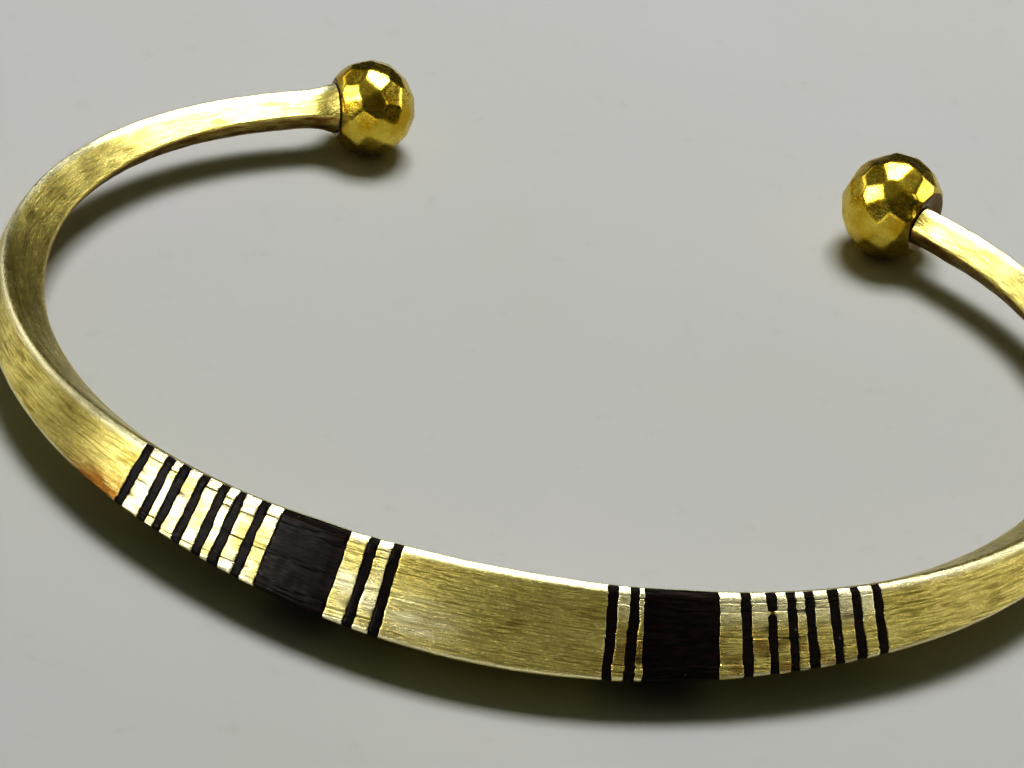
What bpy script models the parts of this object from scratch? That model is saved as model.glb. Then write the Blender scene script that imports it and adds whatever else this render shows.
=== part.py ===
"""Open C-shaped cuff bangle: a forged brass bar with ebony inlay and two faceted ball heads.

The bar lies flat. Its ridge faces up (+Z), its inlaid front faces -Y and its opening faces +Y.
All lengths below are in millimetres; mesh points are stored in metres.
"""

import math

import bmesh
import bpy
import numpy as np

MM = 0.001

# Plan of the bar's ridge line: a mean radius with hand-bent deviations of each order round it.
MEAN_RADIUS = 30.0
OVAL = -3.81
EGG = 0.51
SQUARENESS = 0.30
LEAN = 0.05

# Cross-section at stations round the bar: angle from the front (degrees), rise of the ridge
# above its widest level, depth of its foot below that level, and reach of the outer edge and
# of the inner edge from the ridge.
STATIONS = (
    (0.0, 4.03, 2.53, 3.31, 2.10),
    (45.0, 2.86, 1.69, 2.39, 2.41),
    (90.0, 1.60, 1.09, 0.91, 2.39),
    (128.0, 1.27, 1.20, 1.00, 1.38),
    (152.0, 1.25, 1.25, 1.20, 1.25),
)
SETTLE = 0.03

# Outline of the section as shares of (reach, rise or depth): a keeled bar at the front that
# turns into a bar with one broad flat, tipped inwards, on the rear arms. Outer side: ridge to foot.
KEELED_OUTER = (
    (0.0, 1.0),
    (0.12, 0.955),
    (0.42, 0.64),
    (0.74, 0.28),
    (1.0, -0.03),
    (0.99, -0.12),
    (0.46, -0.60),
    (-0.10, -1.0),
)
KEELED_INNER = (
    (-0.55, -1.0),
    (-0.84, -0.62),
    (-0.97, -0.28),
    (-1.0, 0.02),
    (-0.90, 0.30),
    (-0.56, 0.60),
    (-0.12, 0.955),
)
FLAT_OUTER = (
    (0.0, 0.80),
    (0.44, 0.98),
    (0.78, 0.76),
    (0.97, 0.36),
    (1.0, 0.0),
    (0.98, -0.28),
    (0.84, -0.64),
    (0.40, -1.0),
)
FLAT_INNER = (
    (-0.40, -1.0),
    (-0.72, -0.70),
    (-0.90, -0.30),
    (-1.04, 0.12),
    (-1.02, 0.28),
    (-0.62, 0.49),
    (-0.20, 0.70),
)
FLATTENING_START = 72.0
FLATTENING_END = 120.0

# Faceted ball heads. Each is set on its neck off centre by its offset, away from the wrist.
HEAD_ANGLE = {"left": -146.9, "right": 138.6}
HEAD_RADIUS = {"left": 3.1, "right": 3.45}
HEAD_FLATTENING = {"left": 0.95, "right": 0.93}
HEAD_OFFSET = {"left": 0.0, "right": 0.6}
HEAD_FACETS = 74
FACET_TURN = {"left": 0.4, "right": 1.9}
FACET_WOBBLE = 0.09
FACET_WOBBLE_RATE = 5.3
LOWEST_FACET = -0.93
SEAT_RADIUS = {"left": 1.75, "right": 1.9}
NECK_RADIUS = {"left": 1.7, "right": 1.3}
SEAT_GAP = 0.06
FLARE_LENGTH = 2.2
PEG_RADIUS = 1.05
PEG_LENGTH = 2.0
PEG_CLEARANCE = 0.1
PEG_SIDES = 24
HOLE_OVERSHOOT = 1.0

# Inlay: distances along the ridge line from the front to each hand-cut channel's middle.
SLIP_WIDTH = 0.58
BLOCK_WIDTH = 4.15
INNER_SLIPS = {"left": (6.14, 7.52), "right": (5.77, 6.95)}
BLOCK_CENTRE = {"left": 10.98, "right": 9.60}
OUTER_SLIPS = {
    "left": (14.23, 15.70, 16.84, 18.21, 19.61, 20.73, 22.38),
    "right": (13.22, 14.69, 15.85, 16.94, 18.41, 19.76, 21.10),
}
CHANNEL_DEPTH = 0.9
CHANNEL_TAPER = 0.86
CHANNEL_LIP = 0.7
INLAY_CLEARANCE = 0.05

# Spacing of the rings that the bar and its inlays are swept through.
ARC_LIMIT = 160.0
ARC_STEP = 0.25
PLAIN_STEP = 1.3
BLOCK_STEP = 0.9
SIDES = {"left": -1, "right": 1}


def clear_scene():
    for obj in list(bpy.data.objects):
        bpy.data.objects.remove(obj, do_unlink=True)


def material(name, colour, roughness, metallic):
    made = bpy.data.materials.new(name)
    made.use_nodes = True
    shader = made.node_tree.nodes["Principled BSDF"]
    shader.inputs["Base Color"].default_value = (*colour, 1.0)
    shader.inputs["Roughness"].default_value = roughness
    shader.inputs["Metallic"].default_value = metallic
    return made


def plan_point(angle):
    """Point of the ridge line in plan and its outward normal, angle in radians from the front."""
    radius = (
        MEAN_RADIUS
        + OVAL * math.cos(2 * angle)
        + EGG * math.cos(3 * angle)
        + SQUARENESS * math.cos(4 * angle)
        + LEAN * math.sin(2 * angle)
    )
    slope = (
        -2 * OVAL * math.sin(2 * angle)
        - 3 * EGG * math.sin(3 * angle)
        - 4 * SQUARENESS * math.sin(4 * angle)
        + 2 * LEAN * math.cos(2 * angle)
    )
    along = np.array(
        [
            slope * math.sin(angle) + radius * math.cos(angle),
            -slope * math.cos(angle) + radius * math.sin(angle),
        ]
    )
    along /= np.hypot(*along)
    point = np.array([radius * math.sin(angle), -radius * math.cos(angle)])
    return point, along, np.array([along[1], -along[0]])


def arc_table():
    """Angles in radians and the length along the ridge line from the front to each."""
    angles = np.radians(np.arange(-ARC_LIMIT, ARC_LIMIT + ARC_STEP, ARC_STEP))
    points = np.array([plan_point(angle)[0] for angle in angles])
    steps = np.hypot(*np.diff(points, axis=0).T)
    lengths = np.concatenate([[0.0], np.cumsum(steps)])
    return angles, lengths - np.interp(0.0, angles, lengths)


ANGLES, LENGTHS = arc_table()


def angle_at(length):
    return float(np.interp(length, LENGTHS, ANGLES))


def length_at(degrees):
    return float(np.interp(math.radians(degrees), ANGLES, LENGTHS))


def seat_distance(side):
    """Distance from a head's centre to the flat seat ground on it for the neck."""
    radius = HEAD_RADIUS[side]
    return HEAD_FLATTENING[side] * math.sqrt(radius**2 - SEAT_RADIUS[side] ** 2)


def neck_end(side):
    """Length along the ridge line at which the bar's neck ends."""
    return length_at(HEAD_ANGLE[side]) - SIDES[side] * seat_distance(side)


def smooth_between(value, positions, heights):
    """Cubic curve through the stations, level at the first one."""
    slopes = np.gradient(heights, positions)
    slopes[0] = 0.0
    value = min(max(value, positions[0]), positions[-1])
    i = min(int(np.searchsorted(positions, value, side="right")) - 1, len(positions) - 2)
    span = positions[i + 1] - positions[i]
    t = (value - positions[i]) / span
    return float(
        heights[i] * (1 + 2 * t) * (1 - t) ** 2
        + heights[i + 1] * t * t * (3 - 2 * t)
        + slopes[i] * span * t * (1 - t) ** 2
        + slopes[i + 1] * span * t * t * (t - 1)
    )


def ease(value, low, high):
    t = min(max((value - low) / (high - low), 0.0), 1.0)
    return t * t * (3 - 2 * t)


def section_at(length):
    """Outer and inner outlines of the bar here, as points (reach, height above its widest level)."""
    degrees = abs(math.degrees(angle_at(length)))
    stations = np.array(STATIONS).T
    rise, depth, outer_reach, inner_reach = (
        smooth_between(degrees, stations[0], row) for row in stations[1:]
    )
    blend = ease(degrees, FLATTENING_START, FLATTENING_END)
    outlines = []
    for keeled, flat, reach in (
        (KEELED_OUTER, FLAT_OUTER, outer_reach),
        (KEELED_INNER, FLAT_INNER, inner_reach),
    ):
        shares = (1 - blend) * np.array(keeled) + blend * np.array(flat)
        heights = shares[:, 1] * np.where(shares[:, 1] > 0, rise, depth)
        outlines.append(np.column_stack([shares[:, 0] * reach, heights]))
    return flared(np.concatenate(outlines), length), len(KEELED_OUTER)


def flared(outline, length):
    """The outline widened towards a round neck where the bar meets its head."""
    side = "right" if length > 0 else "left"
    remaining = abs(neck_end(side)) - abs(length)
    share = max(0.0, 1.0 - remaining / FLARE_LENGTH) ** 2
    distance = np.hypot(*outline.T)[:, None]
    return outline * (1 - share + share * NECK_RADIUS[side] / distance)


def middle_height(length):
    """Height of the widest level: the front sits on its foot, each end at its head's centre."""
    side = "right" if length > 0 else "left"
    front = STATIONS[0][2] - SETTLE
    rise = ease(abs(length), 0.0, abs(neck_end(side)))
    return front + (HEAD_RADIUS[side] - front) * rise


def placed(outline, length):
    """Section points placed in space, with nothing below the resting plane."""
    point, _, outward = plan_point(angle_at(length))
    reach, height = np.array(outline).T
    plan = point + reach[:, None] * outward
    z = np.maximum(middle_height(length) + height, 0.0)
    return np.column_stack([plan, z])


def channel_floor(outer):
    """Bottom of an inlay channel under this outer outline, leaving a lip at ridge and foot."""
    floor = outer[1:-1] * (1.0, CHANNEL_TAPER) - (CHANNEL_DEPTH, 0.0)
    floor[0] = outer[0] - (0.0, CHANNEL_LIP)
    floor[-1] = outer[-1] + (0.0, CHANNEL_LIP)
    return floor


def moved_towards(start, end, distance):
    return start + (end - start) * distance / np.hypot(*(end - start))


def inlay_outline(length):
    """Closed outline of an inlay here: flush with the bar outside, clear of it elsewhere."""
    outline, count = section_at(length)
    outer = outline[:count].copy()
    floor = channel_floor(outer) + (INLAY_CLEARANCE, 0.0)
    floor[0] += (0.0, INLAY_CLEARANCE)
    floor[-1] -= (0.0, INLAY_CLEARANCE)
    outer[0] = moved_towards(outer[0], outer[1], INLAY_CLEARANCE)
    outer[-1] = moved_towards(outer[-1], outer[-2], INLAY_CLEARANCE)
    return np.concatenate([outer, floor[::-1]])


def inlay_spans():
    """Name, start and end along the ridge line of every inlay."""
    spans = []
    for side, sign in SIDES.items():
        rows = [("block", BLOCK_CENTRE[side], BLOCK_WIDTH)]
        for row, centres in (("inner", INNER_SLIPS[side]), ("outer", OUTER_SLIPS[side])):
            for i, centre in enumerate(centres):
                rows.append((f"{row}_slip_{i + 1}", centre, SLIP_WIDTH))
        for name, centre, width in rows:
            ends = sorted((sign * (centre - width / 2), sign * (centre + width / 2)))
            spans.append((f"{side}_{name}", *ends))
    return sorted(spans, key=lambda span: span[1])


def steps_between(start, end, step):
    count = max(1, math.ceil((end - start) / step))
    return [start + (end - start) * i / count for i in range(count + 1)]


def new_object(name, mesh, look):
    """Object made from a bmesh, its faces turned outwards."""
    bmesh.ops.recalc_face_normals(mesh, faces=mesh.faces)
    if mesh.calc_volume(signed=True) < 0:
        bmesh.ops.reverse_faces(mesh, faces=mesh.faces)
    data = bpy.data.meshes.new(name)
    mesh.to_mesh(data)
    mesh.free()
    obj = bpy.data.objects.new(name, data)
    data.materials.append(look)
    bpy.context.scene.collection.objects.link(obj)
    return obj


def add_ring(mesh, points):
    return [mesh.verts.new([c * MM for c in point]) for point in points]


def bridge(mesh, first, second):
    count = len(first)
    for i in range(count):
        j = (i + 1) % count
        mesh.faces.new((first[i], first[j], second[j], second[i]))


def add_channel_wall(mesh, outer, floor):
    """End wall of a channel, between the bar's outer outline and the channel's floor."""
    mesh.faces.new((outer[0], outer[1], floor[0]))
    for i in range(len(floor) - 1):
        mesh.faces.new((outer[i + 1], outer[i + 2], floor[i + 1], floor[i]))
    mesh.faces.new((outer[-2], outer[-1], floor[-1]))


def add_plain_run(mesh, ring, start, end):
    """Bar carried on from a ring at start, returning its ring at end."""
    for length in steps_between(start, end, PLAIN_STEP)[1:]:
        outline, _ = section_at(length)
        following = add_ring(mesh, placed(outline, length))
        bridge(mesh, ring, following)
        ring = following
    return ring


def add_channel(mesh, ring, start, end):
    """Channel sawn across the bar's outer side, returning the bar's full ring after it."""
    _, count = section_at(start)
    lengths = steps_between(start, end, BLOCK_STEP)
    previous = None
    for length in lengths:
        outline, _ = section_at(length)
        floor = add_ring(mesh, placed(channel_floor(outline[:count]), length))
        if length == lengths[0]:
            full = ring
        elif length == lengths[-1]:
            full = add_ring(mesh, placed(outline, length))
        else:
            kept = add_ring(mesh, placed(outline[count - 1 :], length))
            ridge = add_ring(mesh, placed(outline[:1], length))
            full = ridge + [None] * (count - 2) + kept
        if length in (lengths[0], lengths[-1]):
            add_channel_wall(mesh, full[:count], floor)
        cut = [full[0]] + floor + full[count - 1 :]
        if previous:
            bridge(mesh, previous, cut)
        previous = cut
    return full


def add_peg(mesh, ring, side):
    """Flat neck end and the peg that goes into the head."""
    length = neck_end(side)
    outline, _ = section_at(length)
    point, along, outward = plan_point(angle_at(length))
    towards_head = SIDES[side] * along
    directions = outline / np.hypot(*outline.T)[:, None]
    height = middle_height(length)
    for reach in (0.0, PEG_LENGTH):
        plan = point + towards_head * reach + (PEG_RADIUS * directions[:, :1]) * outward
        z = height + PEG_RADIUS * directions[:, 1]
        following = add_ring(mesh, np.column_stack([plan, z]))
        bridge(mesh, ring, following)
        ring = following
    mesh.faces.new(ring)


def make_body(look):
    """The bar with its channels, necks and pegs, built from one end to the other."""
    mesh = bmesh.new()
    start = neck_end("left")
    outline, _ = section_at(start)
    ring = add_ring(mesh, placed(outline, start))
    add_peg(mesh, ring, "left")
    for _, first, last in inlay_spans():
        ring = add_plain_run(mesh, ring, start, first - INLAY_CLEARANCE)
        ring = add_channel(mesh, ring, first - INLAY_CLEARANCE, last + INLAY_CLEARANCE)
        start = last + INLAY_CLEARANCE
    ring = add_plain_run(mesh, ring, start, neck_end("right"))
    add_peg(mesh, ring, "right")
    return new_object("cuff_body", mesh, look)


def make_inlay(name, start, end, look):
    """One ebony piece, swept along the bar and closed at both walls."""
    mesh = bmesh.new()
    ring = None
    for length in steps_between(start, end, BLOCK_STEP):
        following = add_ring(mesh, placed(inlay_outline(length), length))
        if ring is None:
            mesh.faces.new(following)
        else:
            bridge(mesh, ring, following)
        ring = following
    mesh.faces.new(ring)
    return new_object(name, mesh, look)


def facet_directions(side):
    """Outward directions of the filed facets: one straight down, the rest spread evenly."""
    golden = math.pi * (3 - math.sqrt(5))
    directions = [np.array([0.0, 0.0, -1.0])]
    for i in range(HEAD_FACETS):
        height = 1 - 2 * (i + 0.5) / HEAD_FACETS
        ring = math.sqrt(1 - height * height)
        turn = golden * i + FACET_TURN[side]
        wobble = FACET_WOBBLE * math.sin(FACET_WOBBLE_RATE * i + FACET_TURN[side])
        direction = np.array([ring * math.cos(turn + wobble), ring * math.sin(turn + wobble), height])
        if height > LOWEST_FACET:
            directions.append(direction)
    return directions


def make_head(side, look):
    """Faceted ball with a flat seat and a blind hole for the peg, set a little off the neck's axis."""
    length = neck_end(side)
    point, along, outward = plan_point(angle_at(length))
    axis = np.array([*(SIDES[side] * along), 0.0])
    radius = HEAD_RADIUS[side]
    distance = seat_distance(side)
    seat = np.array([*point, radius])
    centre = seat + axis * distance + HEAD_OFFSET[side] * np.array([*outward, 0.0])
    mesh = bmesh.new()
    bmesh.ops.create_cube(mesh, size=4 * radius * MM)
    for direction in facet_directions(side):
        lengthwise = direction @ axis
        squeezed = direction - axis * lengthwise + axis * lengthwise / HEAD_FLATTENING[side]
        normal = squeezed / np.linalg.norm(squeezed)
        reach = radius / np.linalg.norm(squeezed)
        cut_flat(mesh, normal * reach * MM, normal)
    cut_flat(mesh, -axis * (distance - SEAT_GAP) * MM, -axis)
    head = new_object(f"{side}_head", mesh, look)
    head.location = [c * MM for c in centre]
    cut_blind_hole(head, seat, axis)
    return head


def cut_flat(mesh, point, normal):
    """Removes what lies beyond a plane and closes the cut."""
    geometry = mesh.verts[:] + mesh.edges[:] + mesh.faces[:]
    cut = bmesh.ops.bisect_plane(
        mesh, geom=geometry, dist=1e-9, plane_co=point, plane_no=normal, clear_outer=True
    )
    edges = [item for item in cut["geom_cut"] if isinstance(item, bmesh.types.BMEdge)]
    bmesh.ops.holes_fill(mesh, edges=edges, sides=0)


def cut_blind_hole(head, seat, axis):
    """Boolean cut of the hole that takes the bar's peg."""
    deep = PEG_LENGTH + PEG_CLEARANCE
    mesh = bmesh.new()
    bmesh.ops.create_cone(
        mesh,
        cap_ends=True,
        segments=PEG_SIDES,
        radius1=(PEG_RADIUS + PEG_CLEARANCE) * MM,
        radius2=(PEG_RADIUS + PEG_CLEARANCE) * MM,
        depth=(deep + HOLE_OVERSHOOT) * MM,
    )
    cutter = new_object(f"{head.name}_hole_cutter", mesh, head.data.materials[0])
    cutter.rotation_euler = (0.0, math.pi / 2, math.atan2(axis[1], axis[0]))
    cutter.location = [c * MM for c in seat + axis * (deep - HOLE_OVERSHOOT) / 2]
    cutter.hide_render = True
    cutter.display_type = "WIRE"
    cut = head.modifiers.new("peg_hole", "BOOLEAN")
    cut.object = cutter
    cut.operation = "DIFFERENCE"
    cut.solver = "EXACT"


def centre_over_origin(objects):
    """Moves everything so that the bangle's bounding box is centred over the origin."""
    bpy.context.view_layer.update()
    corners = np.array(
        [obj.matrix_world @ vertex.co for obj in objects for vertex in obj.data.vertices]
    )
    middle = (corners.min(axis=0) + corners.max(axis=0)) / 2
    for obj in bpy.data.objects:
        obj.location.x -= middle[0]
        obj.location.y -= middle[1]


def main():
    clear_scene()
    bar_brass = material("bar_brass", (0.72, 0.55, 0.24), 0.32, 1.0)
    head_brass = material("head_brass", (0.75, 0.54, 0.20), 0.26, 1.0)
    slip_ebony = material("slip_ebony", (0.035, 0.018, 0.012), 0.45, 0.0)
    block_ebony = material("block_ebony", (0.025, 0.014, 0.010), 0.40, 0.0)
    body = make_body(bar_brass)
    heads = [make_head(side, head_brass) for side in SIDES]
    for name, start, end in inlay_spans():
        make_inlay(name, start, end, block_ebony if name.endswith("block") else slip_ebony)
    centre_over_origin([body] + heads)


main()
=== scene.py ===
"""Looks of the open cuff bangle: a filed brass bar, faceted ball heads and ebony inlay.

Lengths are in millimetres and mesh points in metres. The bar is swept along the same ridge line
and through the same sections as the CAD part, with eased edges, hand-cut inlay channels, scored
ribs, file marks and hammer flats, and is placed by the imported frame's own boxes.
"""

import math

import bpy
import numpy as np
from mathutils import Matrix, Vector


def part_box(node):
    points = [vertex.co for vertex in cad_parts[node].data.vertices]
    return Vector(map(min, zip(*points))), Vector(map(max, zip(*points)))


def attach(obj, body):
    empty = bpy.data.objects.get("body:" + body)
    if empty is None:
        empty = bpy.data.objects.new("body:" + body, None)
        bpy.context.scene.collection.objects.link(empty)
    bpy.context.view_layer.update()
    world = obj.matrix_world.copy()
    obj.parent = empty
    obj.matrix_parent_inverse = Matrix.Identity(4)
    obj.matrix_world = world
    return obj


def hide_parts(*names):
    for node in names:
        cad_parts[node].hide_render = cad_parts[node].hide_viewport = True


MM = 0.001

# Plan of the ridge line, sections and inlay, as in the CAD part.
MEAN_RADIUS = 30.0
OVAL = -3.81
EGG = 0.51
SQUARENESS = 0.30
LEAN = 0.05
STATIONS = (
    (0.0, 4.03, 2.53, 3.31, 2.10),
    (45.0, 2.86, 1.69, 2.39, 2.41),
    (90.0, 1.60, 1.09, 0.91, 2.39),
    (128.0, 1.27, 1.20, 1.00, 1.38),
    (152.0, 1.25, 1.25, 1.20, 1.25),
)
SETTLE = 0.03  # the front is worn flat below by this much

# Sections as shares of the reach and of the height: ridge first, then down the outer side.
KEELED = (
    (0.0, 1.0),
    (0.12, 0.955),
    (0.42, 0.64),
    (0.74, 0.28),
    (1.0, -0.03),
    (0.99, -0.12),
    (0.46, -0.60),
    (-0.10, -1.0),
    (-0.55, -1.0),
    (-0.84, -0.62),
    (-0.97, -0.28),
    (-1.0, 0.02),
    (-0.90, 0.30),
    (-0.56, 0.60),
    (-0.12, 0.955),
)
FLAT = (
    (0.0, 0.80),
    (0.44, 0.98),
    (0.78, 0.76),
    (0.97, 0.36),
    (1.0, 0.0),
    (0.98, -0.28),
    (0.84, -0.64),
    (0.40, -1.0),
    (-0.40, -1.0),
    (-0.72, -0.70),
    (-0.90, -0.30),
    (-1.04, 0.12),
    (-1.02, 0.28),
    (-0.62, 0.49),
    (-0.20, 0.70),
)
OUTER_CORNERS = 8
OUTER_EDGE = 4
OUTER_SHARE = 0.62  # share of the outline that is measured from the ridge down the outer side
FLATTENING_START = 72.0
FLATTENING_END = 120.0
HEAD_ANGLE = {"left": -146.9, "right": 138.6}
HEAD_RADIUS = {"left": 3.1, "right": 3.45}
HEAD_FLATTENING = {"left": 0.95, "right": 0.93}
HEAD_OFFSET = {"left": 0.0, "right": 0.6}
HEAD_FACETS = 74
FACET_TURN = {"left": 0.4, "right": 1.9}
FACET_WOBBLE = 0.09
FACET_WOBBLE_RATE = 5.3
LOWEST_FACET = -0.93
SEAT_RADIUS = {"left": 1.75, "right": 1.9}
NECK_RADIUS = {"left": 1.7, "right": 1.3}
SEAT_GAP = 0.06
FLARE_LENGTH = 2.2
PEG_RADIUS = 1.05
PEG_LENGTH = 2.0
PEG_CLEARANCE = 0.1
SLIP_WIDTH = 0.58
BLOCK_WIDTH = 4.15
INNER_SLIPS = {"left": (6.14, 7.52), "right": (5.77, 6.95)}
BLOCK_CENTRE = {"left": 10.98, "right": 9.60}
OUTER_SLIPS = {
    "left": (14.23, 15.70, 16.84, 18.21, 19.61, 20.73, 22.38),
    "right": (13.22, 14.69, 15.85, 16.94, 18.41, 19.76, 21.10),
}
CHANNEL_DEPTH = 0.9
CHANNEL_TAPER = 0.86
CHANNEL_LIP = 0.7
SIDES = {"left": -1, "right": 1}

# Easing of the section's corners (radius of each, ridge first) and points along each side of it.
FRONT_EASING = (0.07, 0.10, 0.6, 0.6, 0.16, 0.10, 0.5, 0.15, 0.15, 0.5, 0.5, 0.4, 0.5, 0.5, 0.10)
REAR_EASING = (0.4, 0.12, 0.15, 0.4, 0.4, 0.4, 0.3, 0.2, 0.2, 0.3, 0.3, 0.08, 0.08, 0.4, 0.4)
SIDE_POINTS = (4, 26, 26, 24, 2, 6, 6, 3, 4, 4, 4, 4, 5, 7, 3)
MOST_EASING = 0.45

# Hand work: channel edges, inlay clearances, grain, scored ribs and relief. Depths are along
# the surface's normal. A sink is a share of the way from the surface to a channel's floor.
EDGE_WANDER = 0.050
EDGE_NICKS = 0.036
EDGE_TILT = 0.010
EDGE_EASE = 0.03
EDGE_MIDDLE = 2.4
RIM_SINK = 0.03
WALL_HALF = 0.005
SLIP_GAP = 0.03
SLIP_SINK = 0.02
SLIP_EASE = 0.03
SLIP_EDGE_SINK = 0.05
SLIP_BOTTOM = 0.94
GRAIN_DEPTH = 0.012
SCORE_PITCH = 0.47
SCORE_START = 0.60
SCORE_DEPTH = 0.050
SCORE_WIDTH = 0.036
TILE_TILT = 0.055
FORGE_WAVES = 0.030
FILE_MARKS = 0.018
HAMMER_DEPTH = 0.080
MOST_LIFT = 0.05
NECK_CALM = 1.0  # the relief fades out over this length at each neck

# Fineness of the meshes: spacing of the bar's rows on ribs, panel and arms, the widest stretch
# that counts as a rib or a panel, the gap kept beside a channel, and rows of an inlay and a ball.
RIB_STEP = 0.13
PANEL_STEP = 0.22
ARM_STEP = 0.45
WIDEST_RIB = 2.0
WIDEST_PANEL = 14.0
EDGE_CLEAR = 0.10
INLAY_STEP = 0.2
BALL_RINGS = 120
BALL_SPOKES = 200

# Brass smeared across a slip: which slip, how far round from the ridge, and half its width. The
# shares say how far the brass reaches over the slip from each side, and how far the slip yields.
SMEARS = (
    ("right_outer_slip_2", 1.15, 0.10),
    ("right_outer_slip_4", 1.75, 0.07),
    ("right_outer_slip_3", 1.75, 0.06),
)
BRASS_SMEAR = 0.49
SLIP_SMEAR = 0.47

# Drawn grooves: distance round, first and last length, depth, and lean per millimetre.
GROOVES = (
    (-1.05, -50.0, -30.0, 0.055, 0.010),
    (-0.45, -42.0, -24.0, 0.045, -0.012),
    (-1.60, -54.0, -38.0, 0.035, 0.006),
    (0.85, -30.0, -25.0, 0.040, 0.05),
    (1.25, -33.0, -26.5, 0.030, 0.06),
)
GROOVE_WIDTH = 0.09

# Nicks: length along the bar, distance round, size and depth.
NICKS = (
    (-50.5, -0.75, 0.26, 0.07),
    (-51.6, -1.15, 0.20, 0.06),
    (-42.0, -0.9, 0.13, 0.12),
    (-40.6, -1.3, 0.12, 0.10),
    (-36.5, -0.7, 0.10, 0.08),
    (59.0, 0.6, 0.16, 0.15),
    (60.6, 1.7, 0.20, 0.12),
    (62.2, 2.0, 0.14, 0.10),
)

# Balls: how crisp the edges between facets are, how unevenly they are filed, and the one deep
# pit of each as direction, width and depth.
FACET_SHARPNESS = 110.0
FACET_UNEVEN = 0.010
HEAD_PITS = {
    "left": ((-0.728, -0.507, 0.462), 0.13, 0.16),
    "right": ((0.456, -0.774, 0.440), 0.12, 0.22),
}
HOLE_CHAMFER = 0.04

# Angles above which a mesh edge is shaded sharp.
BAR_SHARP = 38.0
INLAY_SHARP = 50.0
BALL_SHARP = 60.0

# Colours of the metal, the wood and the floor card.
PALE_GOLD = (0.88, 0.78, 0.31, 1.0)
DEEP_GOLD = (0.80, 0.66, 0.23, 1.0)
DULLED_BRASS = (0.56, 0.50, 0.16, 1.0)
SCRATCHED_BRASS = (0.22, 0.185, 0.035, 1.0)
# Pale brass: partly worn edges, mostly painted highlight on the ridge, the outer edge and the ribs.
RUBBED_AND_HIGHLIGHT_BRASS = (0.95, 0.90, 0.62, 1.0)
# Brown painted shade and painted reflection: under the arms, on the left shoulder and on the lower parts
# of the ribs.
BROWN_SHADE_PAINT = (0.26, 0.13, 0.03, 1.0)
DIRT = (0.05, 0.035, 0.02, 1.0)
BALL_GOLD = (0.74, 0.60, 0.13, 1.0)
BALL_AMBER = (0.56, 0.38, 0.02, 1.0)
BALL_DULLED = (0.34, 0.25, 0.02, 1.0)
BALL_DIRT = (0.16, 0.10, 0.03, 1.0)
EBONY_BLACK = (0.005, 0.002, 0.001, 1.0)
EBONY_BROWN = (0.08, 0.024, 0.010, 1.0)
EBONY_PORE = (0.002, 0.001, 0.001, 1.0)
DUST = (0.45, 0.43, 0.40, 1.0)
CARD_GREEN_GREY = (0.55, 0.56, 0.545, 1.0)
CARD_WARM_GREY = (0.57, 0.565, 0.58, 1.0)
CARD_SPECK = (0.40, 0.40, 0.36, 1.0)

# Camera, from the fitted viewpoint.
CAMERA_AZIMUTH = 1.95
CAMERA_ELEVATION = 35.0
CAMERA_ROLL = 9.203
CAMERA_DISTANCE = 215.478
CAMERA_TARGET = (-2.346, 1.196, 0.0)
CAMERA_LENS = 123.05
SENSOR_WIDTH = 36.0
CLIP_START = 0.01
CLIP_END = 10.0

# Lamps: name, azimuth, elevation, distance and size in metres, watts and tint. The lamp lights
# everything. The cards only show in the metal, so that they don't fill the shadows.
LAMP = ("overhead", 178.0, 67.0, 0.60, (0.28, 0.24), 2.40, (1.0, 1.0, 1.0))
CARDS = (
    ("window", -62.0, 32.0, 0.90, (0.34, 0.34), 3.3, (1.0, 0.98, 0.94)),
    ("left_wall", -118.0, 20.0, 0.90, (0.60, 0.40), 0.95, (1.0, 0.97, 0.90)),
    ("right_wall", 112.0, 20.0, 0.90, (0.60, 0.40), 1.55, (1.0, 0.96, 0.88)),
    ("right_window", 60.0, 38.0, 0.90, (0.20, 0.20), 0.50, (1.0, 0.98, 0.94)),
    ("front_strip", 0.0, 6.0, 0.90, (0.80, 0.07), 0.45, (1.0, 0.98, 0.92)),
)
FLOOR_HALF = 3.0

# Brightness of the room by the sine of the elevation, and its tint.
SKY = ((0.0, 0.012), (0.35, 0.022), (0.60, 0.05), (0.80, 0.10), (0.93, 0.16), (1.0, 0.20))
SKY_TINT = (0.97, 1.0, 0.62)


# ---------------------------------------------------------------- noise


def lattice(ix, iy, iz, seed):
    """Repeatable value from -1 to 1 at each whole-number point."""
    mixed = ix * 374761393 + iy * 668265263 + iz * 2147483647 + seed * 144665
    mixed = (mixed ^ (mixed >> 13)) * 1274126177
    mixed = mixed ^ (mixed >> 16)
    return (mixed & 0xFFFF) / 32767.5 - 1.0


def noise(x, y=0.0, z=0.0, seed=0):
    """Smooth value noise from -1 to 1 over up to three coordinates."""
    x, y, z = np.broadcast_arrays(*(np.asarray(c, float) for c in (x, y, z)))
    cells = [np.floor(c).astype(np.int64) for c in (x, y, z)]
    shares = [c - cell for c, cell in zip((x, y, z), cells)]
    shares = [s * s * (3 - 2 * s) for s in shares]
    total = np.zeros(x.shape)
    for corner in range(8):
        steps = [(corner >> axis) & 1 for axis in range(3)]
        weight = np.ones(x.shape)
        for share, step in zip(shares, steps):
            weight = weight * (share if step else 1 - share)
        total += weight * lattice(*(cell + step for cell, step in zip(cells, steps)), seed)
    return total


# ---------------------------------------------------------------- bar geometry


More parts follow.
